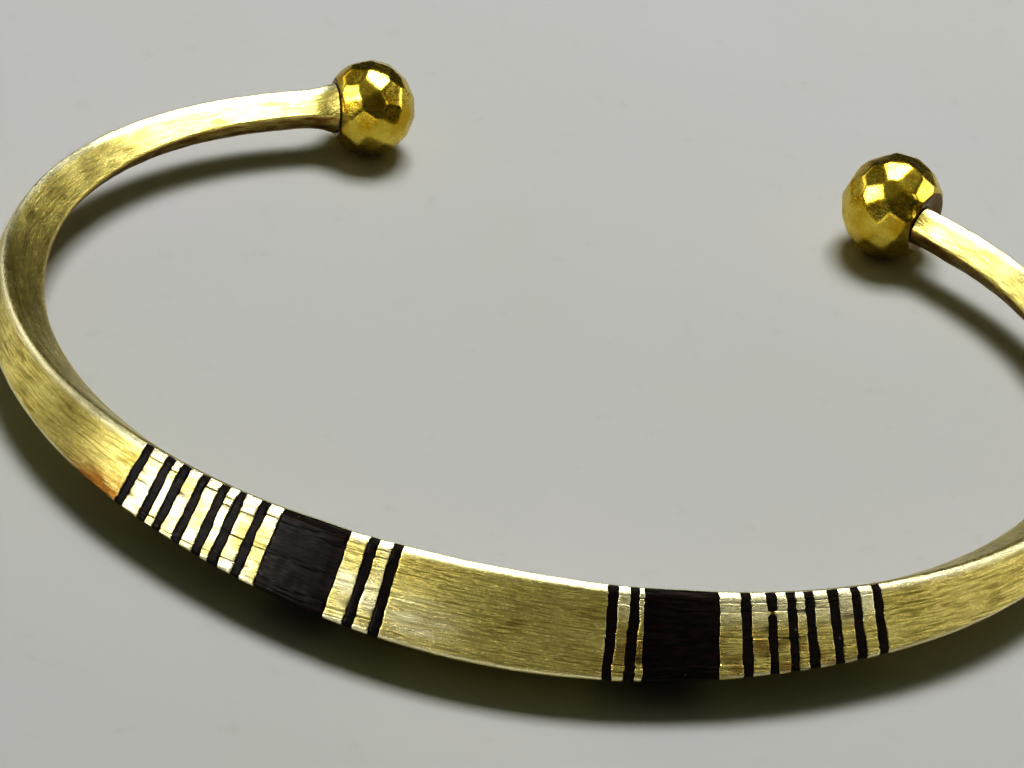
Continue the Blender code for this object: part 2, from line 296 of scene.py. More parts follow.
def plan_frame(angle):
    """Points of the ridge line in plan, the directions along it and its outward normals."""
    radius = (
        MEAN_RADIUS
        + OVAL * np.cos(2 * angle)
        + EGG * np.cos(3 * angle)
        + SQUARENESS * np.cos(4 * angle)
        + LEAN * np.sin(2 * angle)
    )
    slope = (
        -2 * OVAL * np.sin(2 * angle)
        - 3 * EGG * np.sin(3 * angle)
        - 4 * SQUARENESS * np.sin(4 * angle)
        + 2 * LEAN * np.cos(2 * angle)
    )
    along = np.stack(
        [
            slope * np.sin(angle) + radius * np.cos(angle),
            -slope * np.cos(angle) + radius * np.sin(angle),
        ],
        axis=-1,
    )
    along /= np.linalg.norm(along, axis=-1, keepdims=True)
    point = np.stack([radius * np.sin(angle), -radius * np.cos(angle)], axis=-1)
    return point, along, np.stack([along[..., 1], -along[..., 0]], axis=-1)


ARC_ANGLES = np.radians(np.arange(-160.0, 160.25, 0.25))
ARC_STEPS = np.linalg.norm(np.diff(plan_frame(ARC_ANGLES)[0], axis=0), axis=1)
ARC_LENGTHS = np.concatenate([[0.0], np.cumsum(ARC_STEPS)])
ARC_LENGTHS -= np.interp(0.0, ARC_ANGLES, ARC_LENGTHS)


def angle_at(length):
    """Plan angle at a length along the ridge line, from the middle of the front."""
    return np.interp(length, ARC_LENGTHS, ARC_ANGLES)


def length_at(degrees):
    """Length along the ridge line at a plan angle."""
    return float(np.interp(math.radians(degrees), ARC_ANGLES, ARC_LENGTHS))


def seat_distance(side):
    """Distance from a ball's middle to its seat against the neck."""
    radius = HEAD_RADIUS[side]
    return HEAD_FLATTENING[side] * math.sqrt(radius**2 - SEAT_RADIUS[side] ** 2)


def neck_end(side):
    """Length along the ridge line at which the bar meets a ball."""
    return length_at(HEAD_ANGLE[side]) - SIDES[side] * seat_distance(side)


def eased(value, low, high):
    """0 below low, 1 above high and a smooth step between them."""
    share = np.clip((value - low) / (high - low), 0.0, 1.0)
    return share * share * (3 - 2 * share)


def smooth_between(value, positions, heights):
    """Cubic curve through the stations, level at the first one."""
    slopes = np.gradient(heights, positions)
    slopes[0] = 0.0
    value = np.clip(value, positions[0], positions[-1])
    i = np.clip(np.searchsorted(positions, value, side="right") - 1, 0, len(positions) - 2)
    span = positions[i + 1] - positions[i]
    t = (value - positions[i]) / span
    return (
        heights[i] * (1 + 2 * t) * (1 - t) ** 2
        + heights[i + 1] * t * t * (3 - 2 * t)
        + slopes[i] * span * t * (1 - t) ** 2
        + slopes[i + 1] * span * t * t * (t - 1)
    )


def flattening(lengths):
    """Share of the rear arms' flat section at each length."""
    degrees = np.abs(np.degrees(angle_at(lengths)))
    return eased(degrees, FLATTENING_START, FLATTENING_END)[:, None, None]


def sections_at(lengths):
    """The bar's faceted outlines at many lengths: an array (length, corner, (reach, height))."""
    lengths = np.asarray(lengths, float)
    degrees = np.abs(np.degrees(angle_at(lengths)))
    stations = np.array(STATIONS).T
    rise, depth, outer, inner = (smooth_between(degrees, stations[0], row) for row in stations[1:])
    blend = flattening(lengths)
    shares = (1 - blend) * np.array(KEELED) + blend * np.array(FLAT)
    reach = np.where(np.arange(len(KEELED)) < OUTER_CORNERS, outer[:, None], inner[:, None])
    height = np.where(shares[..., 1] > 0, rise[:, None], depth[:, None])
    outline = shares * np.stack([reach, height], axis=-1)
    ends = np.where(lengths > 0, neck_end("right"), -neck_end("left"))
    flare = np.clip(1.0 - (ends - np.abs(lengths)) / FLARE_LENGTH, 0.0, None)[:, None, None] ** 2
    distance = np.linalg.norm(outline, axis=-1, keepdims=True)
    neck = np.where(lengths > 0, NECK_RADIUS["right"], NECK_RADIUS["left"])[:, None, None]
    return outline * (1 - flare + flare * neck / distance)


def middle_heights(lengths):
    """Height of the section's zero line: it rises from the front to the middle of each ball."""
    lengths = np.asarray(lengths, float)
    front = STATIONS[0][2] - SETTLE
    ends = np.where(lengths > 0, neck_end("right"), -neck_end("left"))
    radius = np.where(lengths > 0, HEAD_RADIUS["right"], HEAD_RADIUS["left"])
    return front + (radius - front) * eased(np.abs(lengths), 0.0, ends)


def eased_outlines(corners, blend):
    """Outlines with rounded corners, and each point's place as corner number plus share of a side."""
    before = np.roll(corners, 1, axis=1)
    after = np.roll(corners, -1, axis=1)
    side = np.linalg.norm(after - corners, axis=-1, keepdims=True)
    side_before = np.roll(side, 1, axis=1)
    radius = (1 - blend) * np.array(FRONT_EASING)[:, None] + blend * np.array(REAR_EASING)[:, None]
    cut_after = np.minimum(radius / side, MOST_EASING)
    cut_before = np.minimum(radius / side_before, MOST_EASING)
    start = corners + (before - corners) * cut_before
    end = corners + (after - corners) * cut_after
    points = []
    places = []
    for corner in range(corners.shape[1]):
        for t in (0.0, 0.25, 0.5, 0.75, 1.0):
            bend = (1 - t) ** 2 * start[:, corner] + t * t * end[:, corner]
            points.append(bend + 2 * t * (1 - t) * corners[:, corner])
            share = (t - 0.5) * 2 * (cut_after if t > 0.5 else cut_before)[:, corner, 0]
            places.append(corner + share)
        following = (corner + 1) % corners.shape[1]
        last = corner + cut_after[:, corner, 0]
        next_start = corner + 1 - cut_before[:, following, 0]
        for step in range(1, SIDE_POINTS[corner]):
            t = step / SIDE_POINTS[corner]
            points.append((1 - t) * end[:, corner] + t * start[:, following])
            places.append((1 - t) * last + t * next_start)
    return np.stack(points, axis=1), np.stack(places, axis=1)


def channel_floors(corners):
    """The channel's bottom below each corner of the outer side, meeting the surface at its ends."""
    outer = corners[:, :OUTER_CORNERS]
    floor = outer * (1.0, CHANNEL_TAPER) - (CHANNEL_DEPTH, 0.0)
    floor[:, 0] = outer[:, 0]
    floor[:, 1] = outer[:, 0] - (0.0, CHANNEL_LIP)
    floor[:, -2] = outer[:, -1] + (0.0, CHANNEL_LIP)
    floor[:, -1] = outer[:, -1]
    return floor


class Bar:
    """Fine tables of the bar's surface, read by length along the ridge and outline point."""

    STEP = 0.2

    def __init__(self):
        self.start, self.end = neck_end("left"), neck_end("right")
        count = int((self.end - self.start) / self.STEP) + 2
        self.lengths = np.linspace(self.start, self.end, count)
        corners = sections_at(self.lengths)
        self.outline, self.place = eased_outlines(corners, flattening(self.lengths))
        self.points = self.outline.shape[1]
        floors = channel_floors(corners)
        self.floor = self.outline.copy()
        for row in range(count):
            inside = self.place[row] < OUTER_CORNERS - 1
            inside &= self.place[row] > 0
            for axis in (0, 1):
                self.floor[row, inside, axis] = np.interp(
                    self.place[row, inside], np.arange(OUTER_CORNERS), floors[row, :, axis]
                )
        self.cut = (self.place[0] > 0) & (self.place[0] < OUTER_CORNERS - 1)
        self.round = self.measure_round()
        self.normal = self.measure_normals()

    def measure_round(self):
        """Distance round the outline from the ridge: outer side positive, inner side negative."""
        steps = np.linalg.norm(np.roll(self.outline, -1, axis=1) - self.outline, axis=-1)
        total = steps.sum(axis=1, keepdims=True)
        travelled = np.cumsum(steps, axis=1) - steps
        ridge = 2
        travelled = travelled - travelled[:, ridge : ridge + 1]
        return np.where(travelled > OUTER_SHARE * total, travelled - total, travelled)

    def measure_normals(self):
        """Outward normals of each outline, in its own plane."""
        tangent = np.roll(self.outline, -1, axis=1) - np.roll(self.outline, 1, axis=1)
        normal = np.stack([-tangent[..., 1], tangent[..., 0]], axis=-1)
        normal /= np.linalg.norm(normal, axis=-1, keepdims=True)
        return normal

    def read(self, table, lengths, points):
        """Table values at these lengths, one outline point each, interpolated along the bar."""
        place = (lengths - self.start) / (self.end - self.start) * (len(self.lengths) - 1)
        place = np.clip(place, 0, len(self.lengths) - 1.001)
        i = place.astype(int)
        share = place - i
        if table.ndim == 3:
            share = share[..., None]
        return table[i, points] * (1 - share) + table[i + 1, points] * share

    def place_points(self, lengths, points, sink, lift):
        """Points in space. sink runs from 0 at the surface to 1 at a channel's floor."""
        outline = self.read(self.outline, lengths, points)
        floor = self.read(self.floor, lengths, points)
        section = outline + (floor - outline) * sink[..., None]
        section = section + self.read(self.normal, lengths, points) * lift[..., None]
        plan, _, outward = plan_frame(angle_at(lengths))
        plan = plan + section[..., :1] * outward
        height = np.maximum(middle_heights(lengths) + section[..., 1], 0.0)
        return np.concatenate([plan, height[..., None]], axis=-1)


# ---------------------------------------------------------------- inlay layout


def inlay_spans():
    """Name, start and end along the ridge line of every inlay, in order."""
    spans = []
    for side, sign in SIDES.items():
        rows = [("block", BLOCK_CENTRE[side], BLOCK_WIDTH)]
        for row, centres in (("inner", INNER_SLIPS[side]), ("outer", OUTER_SLIPS[side])):
            for i, centre in enumerate(centres):
                rows.append((f"{row}_slip_{i + 1}", centre, SLIP_WIDTH))
        for name, centre, width in rows:
            ends = sorted((sign * (centre - width / 2), sign * (centre + width / 2)))
            spans.append((f"{side}_{name}", *ends))
    return sorted(spans, key=lambda span: span[1])


SPANS = inlay_spans()
SPAN_ENDS = {name: (first, last) for name, first, last in SPANS}


def edge_offset(edge, place_round):
    """How far a hand-cut channel edge strays along the bar at each distance round the section."""
    tilt = EDGE_TILT * float(lattice(edge, 5, 2, 11)) * 2
    wander = EDGE_WANDER * noise(place_round / 0.9, edge * 3.7, seed=3)
    nicks = EDGE_NICKS * noise(place_round / 0.17, edge * 5.1, seed=4)
    return wander + nicks + tilt * (place_round - EDGE_MIDDLE)


def smear(name, place_round):
    """Width share of the thin brass smear that bridges a slip, by distance round the section."""
    total = np.zeros(np.shape(place_round))
    for owner, where, width in SMEARS:
        if owner == name:
            total += np.exp(-(((place_round - where) / width) ** 4))
    return np.clip(total, 0.0, 1.0)


# ---------------------------------------------------------------- surface relief


def rib_numbers(lengths):
    """Number of the rib each length lies on, or -1 away from the ribs."""
    number = np.full(np.shape(lengths), -1)
    for i, (span, following) in enumerate(zip(SPANS, SPANS[1:])):
        gap = following[1] - span[2]
        if gap < WIDEST_RIB:
            here = (lengths > span[2] - EDGE_CLEAR) & (lengths < following[1] + EDGE_CLEAR)
            number = np.where(here, i, number)
    return number


def score_relief(lengths, rounds):
    """Fine cross-scores on the ribs and the slightly tipped tiles between them."""
    rib = rib_numbers(lengths)
    steps = (rounds - SCORE_START) / SCORE_PITCH
    score = np.round(steps).astype(np.int64)
    jitter = 0.20 * lattice(score, rib, 0, 21)
    nearest = (score + jitter) * SCORE_PITCH + SCORE_START
    deep = 0.55 + 0.45 * lattice(score, rib, 3, 22)
    groove = -SCORE_DEPTH * deep * np.exp(-(((rounds - nearest) / SCORE_WIDTH) ** 2))
    tile = np.floor(steps - jitter).astype(np.int64)
    across = (steps - jitter - tile - 0.5) * SCORE_PITCH
    tip = TILE_TILT * lattice(tile, rib, 7, 23) * across
    here = (rib >= 0) & (rounds > 0.30) & (rounds < 5.2)
    return np.where(here, groove + tip, 0.0)


def spot(lengths, rounds, length, around, long, wide):
    """Soft patch, 1 at its middle, with these half sizes along and round the bar."""
    return np.exp(-(((lengths - length) / long) ** 2) - (((rounds - around) / wide) ** 2))


def file_relief(lengths, rounds):
    """File marks along the bar: strong on the panel's lower left and beside the left ribs."""
    marks = noise(lengths / 1.9 + rounds * 0.25, rounds / 0.11, seed=31)
    marks = marks + 0.6 * noise(lengths / 0.9, rounds / 0.07, seed=32)
    spots = 0.35 + 0.30 * noise(lengths / 3.0, rounds / 1.4, seed=33)
    panel = spot(lengths, rounds, -3.2, 3.6, 2.0, 0.9)
    shoulder = spot(lengths, rounds, -24.5, 2.6, 2.2, 1.1)
    front = np.exp(-((lengths / 34.0) ** 4))
    outer = (rounds > 0.45) & (rounds < 5.0)
    strength = np.clip(spots, 0.08, None) * (0.25 + 0.75 * front) + 1.1 * panel + 0.9 * shoulder
    return FILE_MARKS * marks * strength * np.where(outer, 1.0, 0.35)


def cell_relief(x, y, seed):
    """Flats left by a hammer: distance to the nearest of scattered centres, from 0 to 1."""
    best = np.full(np.broadcast(x, y).shape, 9.0)
    ix, iy = np.floor(x).astype(np.int64), np.floor(y).astype(np.int64)
    for dx in (-1, 0, 1):
        for dy in (-1, 0, 1):
            cx = ix + dx + 0.5 + 0.42 * lattice(ix + dx, iy + dy, 1, seed)
            cy = iy + dy + 0.5 + 0.42 * lattice(ix + dx, iy + dy, 2, seed)
            best = np.minimum(best, (x - cx) ** 2 + (y - cy) ** 2)
    return np.clip(best, 0.0, 1.0)


def hammer_relief(lengths, rounds):
    """Planished flats on the arms, deepest towards the heads."""
    towards_head = np.where(lengths > 0, eased(lengths, 40.0, 56.0), 0.55 * eased(-lengths, 44.0, 62.0))
    flats = cell_relief(lengths / 1.9, rounds / 1.3, 41)
    return HAMMER_DEPTH * (flats - 0.5) * (0.10 + 0.90 * towards_head)


def groove_relief(lengths, rounds):
    """Long drawn grooves on the left arm."""
    relief = np.zeros(np.shape(lengths))
    for where, first, last, depth, lean in GROOVES:
        centre = where + lean * (lengths - first) + 0.05 * noise(lengths / 2.2, where * 9, seed=51)
        along = eased(lengths, first, first + 3.0) * (1 - eased(lengths, last - 3.0, last))
        relief -= depth * along * np.exp(-(((rounds - centre) / GROOVE_WIDTH) ** 2))
    return relief


def pit_relief(lengths, rounds):
    """The placed nicks, and small scattered pits."""
    relief = np.zeros(np.shape(lengths))
    for length, around, size, depth in NICKS:
        relief -= depth * spot(lengths, rounds, length, around, size, 0.7 * size)
    scattered = noise(lengths / 0.35, rounds / 0.35, seed=61)
    return relief - 0.02 * np.clip(scattered - 0.82, 0.0, None) * 5


def relief(bar, lengths, points):
    """Whole relief of the brass along the normal, fading at the necks, and distances round it."""
    rounds = bar.read(bar.round, lengths, points)
    waves = FORGE_WAVES * noise(lengths / 6.5, rounds / 3.2, seed=71)
    waves = waves + 0.35 * FORGE_WAVES * noise(lengths / 2.1, rounds / 1.3, seed=72)
    ends = np.where(lengths > 0, bar.end, -bar.start)
    calm = 1 - eased(np.abs(lengths), ends - NECK_CALM, ends)
    total = waves + score_relief(lengths, rounds) + file_relief(lengths, rounds)
    total = total + hammer_relief(lengths, rounds) + groove_relief(lengths, rounds)
    total = total + pit_relief(lengths, rounds)
    return np.minimum(total * calm, MOST_LIFT), rounds


# ---------------------------------------------------------------- meshes


def mesh_object(name, points, faces, attributes, sharp):
    """Mesh piece in metres, shifted into the row frame, smooth but for its sharp edges."""
    mesh = bpy.data.meshes.new(name)
    placed = (points + (*FRAME_SHIFT, 0.0)) * MM
    mesh.from_pydata(placed.tolist(), [], faces)
    for key, values in attributes.items():
        kind = "FLOAT_VECTOR" if values.ndim == 2 else "FLOAT"
        layer = mesh.attributes.new(key, kind, "POINT")
        slot = "vector" if values.ndim == 2 else "value"
        layer.data.foreach_set(slot, values.astype(np.float32).ravel())
    mesh.validate()
    mesh.shade_smooth()
    mesh.set_sharp_from_angle(angle=math.radians(sharp))
    obj = bpy.data.objects.new(name, mesh)
    bpy.context.scene.collection.objects.link(obj)
    return obj


def grid_faces(rows, columns):
    """Quads between closed rings of points."""
    faces = []
    for row in range(rows - 1):
        a = row * columns
        for i in range(columns):
            j = (i + 1) % columns
            faces.append((a + i, a + columns + i, a + columns + j, a + j))
    return faces


def body_rows(bar):
    """Rows of the bar's mesh: base length, channel edge's number, sink and the inlay's name."""
    rows = []

    def plain(start, end, step):
        count = max(1, math.ceil((end - start) / step))
        for i in range(count + 1):
            rows.append((start + (end - start) * i / count, None, 0.0, None))

    start = bar.start
    for number, (name, first, last) in enumerate(SPANS):
        gap = first - start
        step = RIB_STEP if gap < WIDEST_RIB else PANEL_STEP if gap < WIDEST_PANEL else ARM_STEP
        plain(start, first - EDGE_CLEAR, step)
        for offset, sink in ((-EDGE_EASE, 0.0), (-WALL_HALF, RIM_SINK), (WALL_HALF, 1.0)):
            rows.append((first + offset, 2 * number, sink, name))
        for offset, sink in ((-WALL_HALF, 1.0), (WALL_HALF, RIM_SINK), (EDGE_EASE, 0.0)):
            rows.append((last + offset, 2 * number + 1, sink, name))
        start = last + EDGE_CLEAR
    plain(start, bar.end, ARM_STEP)
    return rows


def row_places(bar, length, edge, sink, owner):
    """Length and sink of each point of a row. At a channel the row follows its hand-cut edge."""
    lengths = np.full(bar.points, length)
    if edge is None:
        return lengths, np.zeros(bar.points)
    rounds = bar.read(bar.round, lengths, np.arange(bar.points))
    first, last = SPAN_ENDS[owner]
    away = 1 if edge % 2 else -1
    base = (last if edge % 2 else first) + away * (EDGE_EASE if sink == 0 else 0.0)
    bridge = smear(owner, rounds) * (last - first) * BRASS_SMEAR
    shift = edge_offset(edge, rounds) - away * bridge
    return np.where(bar.cut, base + shift, length), np.where(bar.cut, sink, 0.0)


def bar_rings(bar):
    """Points of all rows, with each one's place on the bar and its depth in a channel."""
    index = np.arange(bar.points)
    points = []
    surface = []
    depths = []
    for row in body_rows(bar):
        lengths, sinks = row_places(bar, *row)
        lift, rounds = relief(bar, lengths, index)
        lift = np.where(sinks > 0.5, 0.0, lift)
        points.append(bar.place_points(lengths, index, sinks, lift))
        surface.append(np.stack([lengths, rounds, np.zeros(bar.points)], axis=-1))
        depths.append(sinks)
    return np.concatenate(points), np.concatenate(surface), np.concatenate(depths)


def peg_rings(bar, side):
    """Rings at the shoulder and at the end of the peg on one end of the bar."""
    length = neck_end(side)
    point, along, outward = plan_frame(angle_at(length))
    outline = bar.outline[0 if side == "left" else -1]
    turn = outline / np.linalg.norm(outline, axis=1, keepdims=True)
    height = float(middle_heights(np.array([length]))[0]) + PEG_RADIUS * turn[:, 1]
    rings = []
    for reach in (0.0, PEG_LENGTH):
        plan = point + SIDES[side] * along * reach + PEG_RADIUS * turn[:, :1] * outward
        rings.append(np.column_stack([plan, height]))
    return rings


def ring_faces(first, second, count, flipped):
    """Quads between two rings that start at these point numbers."""
    faces = []
    for i in range(count):
        j = (i + 1) % count
        quad = (first + i, first + j, second + j, second + i)
        faces.append(quad[::-1] if flipped else quad)
    return faces


def make_bar(bar):
    """The brass bar, its channels, necks and pegs."""
    count = bar.points
    points, surface, grime = bar_rings(bar)
    rows = len(points) // count
    faces = grid_faces(rows, count)
    for side, previous in (("left", 0), ("right", (rows - 1) * count)):
        flipped = side == "right"
        ring_surface = surface[previous : previous + count]
        for ring in peg_rings(bar, side):
            added = len(points)
            points = np.concatenate([points, ring])
            surface = np.concatenate([surface, ring_surface])
            grime = np.concatenate([grime, np.ones(count)])
            faces += ring_faces(previous, added, count, flipped)
            previous = added
        cap = tuple(range(previous, previous + count))
        faces.append(cap[::-1] if flipped else cap)
    places = np.resize(bar.place[0], len(points))
    layers = {"surface": surface, "grime": np.maximum(grime, score_grime(surface))}
    # Pale share: worn edges and painted highlights. Brown share: painted shade and painted reflection.
    layers["wear"] = rubbing_and_painted_highlight(surface, places)
    layers["stain"] = painted_brown_shade(surface, places)
    return mesh_object("brass_bar", points, faces, layers, BAR_SHARP)


def score_grime(surface):
    """Dirt held in the ribs' cross-scores."""
    return np.clip(-score_relief(surface[:, 0], surface[:, 1]) / SCORE_DEPTH - 0.2, 0.0, 1.0) * 0.8


def outer_face(places):
    """1 from the ridge to the outer edge, fading to 0 just below it."""
    return 1 - eased(places, OUTER_EDGE + 0.2, OUTER_EDGE + 0.8)


def rubbing_and_painted_highlight(surface, places):
    """Share of pale brass: partly worn edges, mostly painted highlight on the ridge's bevel, the outer
    edge and the ribs, and a painted reflection on the panel's lower left.
    """
    lengths, rounds = surface[:, 0], surface[:, 1]
    ridge = np.exp(-(((rounds - 0.2) / 0.22) ** 2))
    edge = np.exp(-(((places - OUTER_EDGE - 0.1) / 0.30) ** 2))
    cloud = np.clip(0.6 + 1.1 * noise(lengths / 1.6, rounds / 0.9, seed=113), 0.1, 1.0)
    # Painted highlight: the left ribs whitened and the tops of the right ribs lightened.
    left_rib_highlight = 0.8 * cloud * (lengths < 0)
    right_rib_highlight = 0.75 * (1 - eased(rounds, 0.9, 2.4)) * (lengths > 0)
    ribs = np.where(rib_numbers(lengths) >= 0, left_rib_highlight + right_rib_highlight, 0.0) * outer_face(places)
    streaks = np.clip(noise(lengths / 1.2, rounds / 0.13, seed=111) + 0.2, 0.0, 1.0)
    # Painted reflection: a bright streaky patch on the panel's lower left.
    corner = spot(lengths, rounds, -4.0, 3.8, 1.8, 1.0)
    return np.clip(ridge + edge + ribs + corner * (0.4 + streaks), 0.0, 1.0)


def painted_brown_shade(surface, places):
    """Share of brown painted shade: under the arms' inner edges, on the lower parts of the right ribs,
    and a painted reflection on the left shoulder.
    """
    lengths, rounds = surface[:, 0], surface[:, 1]
    # Painted shade on the lower inner side of the arms.
    below = np.clip((places - 8.0) / 0.6, 0.0, 1.0) * np.clip((11.6 - places) / 0.5, 0.0, 1.0)
    below = below * eased(np.abs(lengths), 36.0, 46.0)
    # Painted reflection: a brown wedge on the left shoulder.
    shoulder_reflection = eased(lengths, -28.5, -25.0) * np.exp(-(((rounds - 3.7) / 1.15) ** 2))
    shoulder_reflection = np.where(lengths < -22.7, shoulder_reflection, 0.0)
    patches = 0.75 + 0.5 * noise(lengths / 0.9, rounds / 0.35, seed=101)
    # Painted shade on the lower parts of the right ribs.
    ribs = eased(rounds, 1.6, 2.8) * (rib_numbers(lengths) >= 0) * (lengths > 0)
    ribs = ribs * np.clip(0.35 + 1.2 * noise(lengths / 0.9, rounds / 0.6, seed=103), 0.0, 1.0)
    ribs = ribs * outer_face(places)
    return np.clip((0.85 * below + 1.25 * shoulder_reflection) * patches + 0.6 * ribs, 0.0, 1.0)


def inlay_stations(width):
    """Rows of an inlay: what each is measured from, its offset or share, and its sink."""
    inner = max(2, math.ceil(width / INLAY_STEP))
    stations = [("first", 0.0, SLIP_EDGE_SINK), ("first", SLIP_EASE, 0.0)]
    stations += [("between", i / inner, 0.0) for i in range(1, inner)]
    return stations + [("last", -SLIP_EASE, 0.0), ("last", 0.0, SLIP_EDGE_SINK)]


def inlay_lengths(name, number, rounds, kind, offset):
    """Lengths along the bar of one row of an inlay, clear of the channel's hand-cut edges."""
    first, last = SPAN_ENDS[name]
    bridge = smear(name, rounds) * (last - first) * SLIP_SMEAR
    start = first + edge_offset(2 * number, rounds) + SLIP_GAP + bridge
    end = last + edge_offset(2 * number + 1, rounds) - SLIP_GAP - bridge
    if kind == "first":
        return start + offset
    if kind == "last":
        return end + offset
    return start + (end - start) * offset


def make_inlay(bar, name, number):
    """One ebony piece, a little below the brass, with grain along the bar."""
    index = np.flatnonzero(bar.cut)
    count = len(index)
    first, last = SPAN_ENDS[name]
    rounds = bar.read(bar.round, np.full(count, (first + last) / 2), index)
    loops = []
    surface = []
    for kind, offset, sink in inlay_stations(last - first):
        lengths = inlay_lengths(name, number, rounds, kind, offset)
        grain = GRAIN_DEPTH * noise(lengths / 0.8, rounds / 0.12, seed=81 + number)
        grain = grain + 0.010 * noise(lengths / 0.25, rounds / 0.6, seed=181 + number)
        sinks = np.full(count, sink + SLIP_SINK)
        top = bar.place_points(lengths, index, sinks, grain - GRAIN_DEPTH)
        bottom = bar.place_points(lengths, index, np.full(count, SLIP_BOTTOM), np.zeros(count))
        loops.append(np.concatenate([top, bottom[::-1]]))
        row = np.stack([lengths, rounds, np.full(count, float(number))], axis=-1)
        surface.append(np.concatenate([row, row[::-1]]))
    rows = len(loops)
    loop = 2 * count
    faces = grid_faces(rows, loop)
    for a, flipped in ((0, False), ((rows - 1) * loop, True)):
        for i in range(count - 1):
            quad = (a + i, a + i + 1, a + loop - 2 - i, a + loop - 1 - i)
            faces.append(quad[::-1] if flipped else quad)
    layers = {"surface": np.concatenate(surface)}
    return mesh_object(f"{name}_wood", np.concatenate(loops), faces, layers, INLAY_SHARP)


# ---------------------------------------------------------------- heads


def facet_planes(side, axis):
    """The filed facets as squeezed directions: a surface point times one equals the radius."""
    golden = math.pi * (3 - math.sqrt(5))
    directions = [np.array([0.0, 0.0, -1.0])]
    for i in range(HEAD_FACETS):
        height = 1 - 2 * (i + 0.5) / HEAD_FACETS
        ring = math.sqrt(1 - height * height)
        turn = golden * i + FACET_TURN[side]
        turn += FACET_WOBBLE * math.sin(FACET_WOBBLE_RATE * i + FACET_TURN[side])
        if height > LOWEST_FACET:
            directions.append(np.array([ring * math.cos(turn), ring * math.sin(turn), height]))
    directions = np.array(directions)
    lengthwise = directions @ axis
    return directions + np.outer(lengthwise * (1 / HEAD_FLATTENING[side] - 1), axis)


def ball_reach(side, axis, way):
    """Distance from the ball's middle to its filed and dented surface in each direction."""
    radius = HEAD_RADIUS[side]
    planes = facet_planes(side, axis) / radius
    planes = planes * (1 + FACET_UNEVEN * lattice(np.arange(len(planes)), 3, 1, 91))[:, None]
    planes[0] = np.array([0.0, 0.0, -1.0]) / radius
    ratio = np.clip(way @ planes.T, 1e-6, None)
    level = ratio.max(axis=-1, keepdims=True)
    soft = ((ratio / level) ** FACET_SHARPNESS).sum(axis=-1) ** (1 / FACET_SHARPNESS)
    place = way * 3.0
    dents = 0.012 * noise(*(place[..., k] / 0.9 for k in range(3)), seed=95)
    dents = dents + 0.006 * noise(*(place[..., k] / 0.3 for k in range(3)), seed=96)
    pit, width, depth = HEAD_PITS[side]
    pit = np.array(pit) / np.linalg.norm(pit)
    dents = dents - depth * np.exp(-((1 - way @ pit) / (width**2 / 2)))
    return 1 / (level[..., 0] * soft) + np.minimum(dents, 0.004)


def ball_shell(side, axis, circle):
    """The apex and the rings of the ball's outside, ending on the flat seat."""
    distance = seat_distance(side)
    wall = -(distance - SEAT_GAP)
    seat_angle = math.acos(wall / np.hypot(distance, SEAT_RADIUS[side]))
    polar = np.linspace(0.0, seat_angle, BALL_RINGS)[1:, None, None]
    ways = np.cos(polar) * axis + np.sin(polar) * circle
    shell = ways * ball_reach(side, axis, ways)[..., None]
    depth = shell @ axis
    shell = shell + (np.maximum(depth, wall) - depth)[..., None] * axis
    tip = axis[None, None, :]
    apex = (tip * ball_reach(side, axis, tip)[..., None])[0, 0]
    return apex, list(shell)


def ball_faces(rows):
    """Fans at the first and the last point, and quads between the rings."""
    spokes = BALL_SPOKES
    faces = [(0, 1 + i, 1 + (i + 1) % spokes) for i in range(spokes)]
    faces += [tuple(1 + corner for corner in quad) for quad in grid_faces(rows, spokes)]
    a = 1 + (rows - 1) * spokes
    return faces + [(a + i, a + spokes, a + (i + 1) % spokes) for i in range(spokes)]


def make_head(side):
    """Faceted ball with its seat against the neck and the blind hole for the peg."""
    point, along, outward = plan_frame(angle_at(neck_end(side)))
    axis = np.array([*(SIDES[side] * along), 0.0])
    offset = HEAD_OFFSET[side] * np.array([*outward, 0.0])
    distance = seat_distance(side)
    centre = np.array([*point, HEAD_RADIUS[side]]) + axis * distance + offset
    turn = np.linspace(0.0, 2 * math.pi, BALL_SPOKES, endpoint=False)[:, None]
    across = np.cross([0.0, 0.0, 1.0], axis)
    circle = np.cos(turn) * across + np.sin(turn) * np.array([0.0, 0.0, 1.0])
    apex, rows = ball_shell(side, axis, circle)
    wall = -(distance - SEAT_GAP)
    bottom = -distance + PEG_LENGTH + PEG_CLEARANCE
    hole = PEG_RADIUS + PEG_CLEARANCE
    for depth, radius in ((wall, hole + HOLE_CHAMFER), (wall + HOLE_CHAMFER, hole), (bottom, hole)):
        rows.append(axis * depth - offset + circle * radius)
    points = np.concatenate([apex[None], *rows, (axis * bottom - offset)[None]]) + centre
    points[:, 2] = np.maximum(points[:, 2], 0.0)
    local = points - centre
    grime = np.clip(np.exp(-((local @ axis - wall) / 0.08) ** 2), 0.0, 1.0)
    layers = {"surface": local, "grime": grime}
    return mesh_object(f"{side}_ball", points, ball_faces(len(rows)), layers, BALL_SHARP)


# ---------------------------------------------------------------- materials


